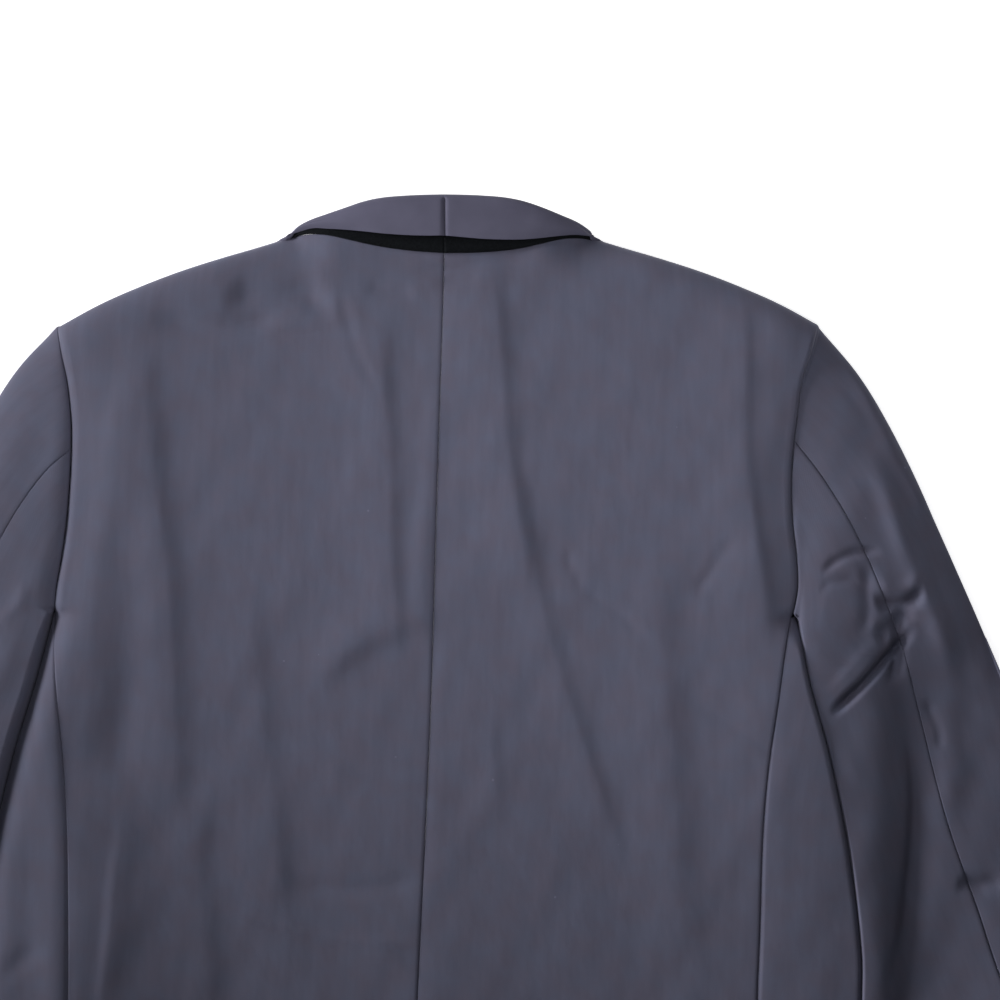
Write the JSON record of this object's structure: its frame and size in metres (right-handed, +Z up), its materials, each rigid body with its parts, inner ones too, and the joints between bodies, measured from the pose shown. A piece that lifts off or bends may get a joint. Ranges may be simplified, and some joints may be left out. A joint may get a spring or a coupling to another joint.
{
  "type": "tuxedo jacket laid flat on its front",
  "caption": "Tuxedo jacket with a satin shawl collar and black felt undercollar, laid flat on its front with the back uppermost, sleeves spread at the sides.",
  "frame": {"origin": "on the surface that the jacket lies on, under the middle of its bounding box", "axes": "+Z up out of the back panels, +Y towards the collar, -Y towards the hem, +X towards the wearer's right sleeve"},
  "size_m": [1.008, 0.8044, 0.039],
  "materials": {
    "wool": "midnight blue-grey fine worsted wool, soft low sheen",
    "satin": "satin weave in the same colour, smooth with a broad soft sheen",
    "felt": "black undercollar felt, matt and slightly fuzzy",
    "covered_button": "button covered in the collar's satin"
  },
  "bodies": {
    "root": {"back_left": "wool", "back_right": "wool", "side_left": "wool", "side_right": "wool", "front_left": "wool", "front_right": "wool", "top_sleeve_left": "wool", "top_sleeve_right": "wool", "under_sleeve_left": "wool", "under_sleeve_right": "wool", "collar_left": "satin", "collar_right": "satin", "lapel_left": "satin", "lapel_right": "satin", "undercollar_left": "felt", "undercollar_right": "felt", "front_button": "covered_button", "cuff_button_left_1": "covered_button", "cuff_button_left_2": "covered_button", "cuff_button_left_3": "covered_button", "cuff_button_right_1": "covered_button", "cuff_button_right_2": "covered_button", "cuff_button_right_3": "covered_button"}
  },
  "joints": []
}
